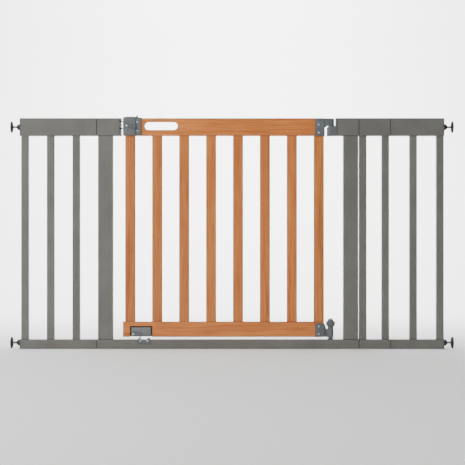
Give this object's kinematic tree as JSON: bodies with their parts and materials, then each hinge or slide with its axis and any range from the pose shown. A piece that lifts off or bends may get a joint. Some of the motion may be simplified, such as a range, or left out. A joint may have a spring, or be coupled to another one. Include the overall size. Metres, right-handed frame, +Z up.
{
  "type": "pressure-mounted safety gate",
  "caption": "Walk-through safety gate with a slatted wooden door in a grey steel frame with extensions, clamped between two walls by rubber pads on threaded spindles.",
  "frame": {"origin": "on the floor, half-way between the two walls that the gate is clamped between, in the middle of its depth", "axes": "+X along the gate from the latch side to the hinge side, +Z up, front faces -Y"},
  "size_m": [1.463, 0.039, 0.7724],
  "materials": {
    "coated_steel": "satin slate-grey powder coat on steel tube",
    "coated_casting": "fine-textured dark grey powder coat on zinc casting",
    "grey_nylon": "fine-textured moulded nylon, dark grey",
    "black_nylon": "moulded black nylon",
    "pad_rubber": "matt black moulded rubber",
    "stained_wood": "honey-brown stained and lacquered hardwood, grain along each piece",
    "zinc_steel": "zinc-plated steel",
    "bright_steel": "bright nickel-plated steel"
  },
  "bodies": {
    "frame": {"left_post": "coated_steel", "right_post": "coated_steel", "threshold_rail": "coated_steel", "latch_side_rail": "coated_steel", "hinge_side_rail": "coated_steel", "strike_plug": "grey_nylon", "hinge_knuckle": "coated_casting", "upper_hinge_pin": "zinc_steel", "lower_hinge_pin": "zinc_steel", "closing_spring": "bright_steel", "floor_catch": "coated_casting", "catch_screws": "bright_steel", "left_ext_top_rail": "coated_steel", "left_ext_bottom_rail": "coated_steel", "left_ext_bars": "coated_steel", "near_ext_top_rail": "coated_steel", "near_ext_bottom_rail": "coated_steel", "near_ext_bars": "coated_steel", "far_ext_top_rail": "coated_steel", "far_ext_bottom_rail": "coated_steel", "far_ext_bars": "coated_steel", "panel_joiners": "grey_nylon", "rail_end_plugs": "grey_nylon"},
    "door": {"door_top_rail": "stained_wood", "door_bottom_rail": "stained_wood", "door_slat_1": "stained_wood", "door_slat_2": "stained_wood", "door_slat_3": "stained_wood", "door_slat_4": "stained_wood", "door_slat_5": "stained_wood", "door_slat_6": "stained_wood", "door_slat_7": "stained_wood", "door_slat_8": "stained_wood", "latch_housing_front": "grey_nylon", "latch_housing_back": "grey_nylon", "latch_spring": "bright_steel", "lever_rivets": "bright_steel", "door_screws": "bright_steel", "upper_hinge_plate": "coated_casting", "lower_hinge_bracket": "coated_casting", "lower_lock_case": "grey_nylon"},
    "latch_slide": {"latch_bolts": "black_nylon", "thumb_slide": "black_nylon"},
    "latch_lever": {"latch_lever": "coated_casting"},
    "lower_lock": {"lower_lock_lever": "coated_casting"},
    "tension_knob": {"hinge_tension_knob": "coated_casting"},
    "spindle_left_top": {"spindle_left_top": "zinc_steel", "wall_pad_left_top": "pad_rubber"},
    "nut_left_top": {"hand_nut_left_top": "black_nylon"},
    "spindle_left_bottom": {"spindle_left_bottom": "zinc_steel", "wall_pad_left_bottom": "pad_rubber"},
    "nut_left_bottom": {"hand_nut_left_bottom": "black_nylon"},
    "spindle_right_top": {"spindle_right_top": "zinc_steel", "wall_pad_right_top": "pad_rubber"},
    "nut_right_top": {"hand_nut_right_top": "black_nylon"},
    "spindle_right_bottom": {"spindle_right_bottom": "zinc_steel", "wall_pad_right_bottom": "pad_rubber"},
    "nut_right_bottom": {"hand_nut_right_bottom": "black_nylon"}
  },
  "joints": [
    {"name": "door_swing", "type": "hinge", "parent": "frame", "child": "door", "pos_m": [0.326, 0, 0.4], "axis": [0, 0, 1], "range_deg": [-90, 90], "stiffness_Nm_per_rad": 1.5},
    {"name": "latch_draw", "type": "slide", "parent": "door", "child": "latch_slide", "axis": [1, 0, 0], "range_m": [0, 0.007], "stiffness_N_per_m": 300, "deforming": ["latch_spring"]},
    {"name": "latch_lever_turn", "type": "hinge", "parent": "door", "child": "latch_lever", "pos_m": [-0.347, -0.016, 0.7365], "axis": [0, -1, 0], "range_deg": [0, 45]},
    {"name": "lower_lock_turn", "type": "hinge", "parent": "door", "child": "lower_lock", "pos_m": [-0.325, -0.014, 0.049], "axis": [0, -1, 0], "range_deg": [0, 30]},
    {"name": "tension_knob_turn", "type": "hinge", "parent": "frame", "child": "tension_knob", "pos_m": [0.326, 0, 0.085], "axis": [0, 0, 1], "range_deg": [-180, 180]},
    {"name": "nut_left_top_turn", "type": "hinge", "parent": "frame", "child": "nut_left_top", "pos_m": [-0.706, 0, 0.7325], "axis": [-1, 0, 0], "range_deg": [-1085, 2890]},
    {"name": "spindle_left_top_slide", "type": "slide", "parent": "frame", "child": "spindle_left_top", "axis": [-1, 0, 0], "range_m": [-0.0075, 0.02]},
    {"name": "nut_left_bottom_turn", "type": "hinge", "parent": "frame", "child": "nut_left_bottom", "pos_m": [-0.706, 0, 0.02], "axis": [-1, 0, 0], "range_deg": [-1085, 2890]},
    {"name": "spindle_left_bottom_slide", "type": "slide", "parent": "frame", "child": "spindle_left_bottom", "axis": [-1, 0, 0], "range_m": [-0.0075, 0.02]},
    {"name": "nut_right_top_turn", "type": "hinge", "parent": "frame", "child": "nut_right_top", "pos_m": [0.706, 0, 0.7325], "axis": [1, 0, 0], "range_deg": [-1085, 2890]},
    {"name": "spindle_right_top_slide", "type": "slide", "parent": "frame", "child": "spindle_right_top", "axis": [1, 0, 0], "range_m": [-0.0075, 0.02]},
    {"name": "nut_right_bottom_turn", "type": "hinge", "parent": "frame", "child": "nut_right_bottom", "pos_m": [0.706, 0, 0.02], "axis": [1, 0, 0], "range_deg": [-1085, 2890]},
    {"name": "spindle_right_bottom_slide", "type": "slide", "parent": "frame", "child": "spindle_right_bottom", "axis": [1, 0, 0], "range_m": [-0.0075, 0.02]}
  ],
  "couplings": [
    {"joint": "nut_left_top_turn", "follows": "spindle_left_top_slide", "rad_per_m": 2513.3},
    {"joint": "nut_left_bottom_turn", "follows": "spindle_left_bottom_slide", "rad_per_m": 2513.3},
    {"joint": "nut_right_top_turn", "follows": "spindle_right_top_slide", "rad_per_m": 2513.3},
    {"joint": "nut_right_bottom_turn", "follows": "spindle_right_bottom_slide", "rad_per_m": 2513.3}
  ]
}
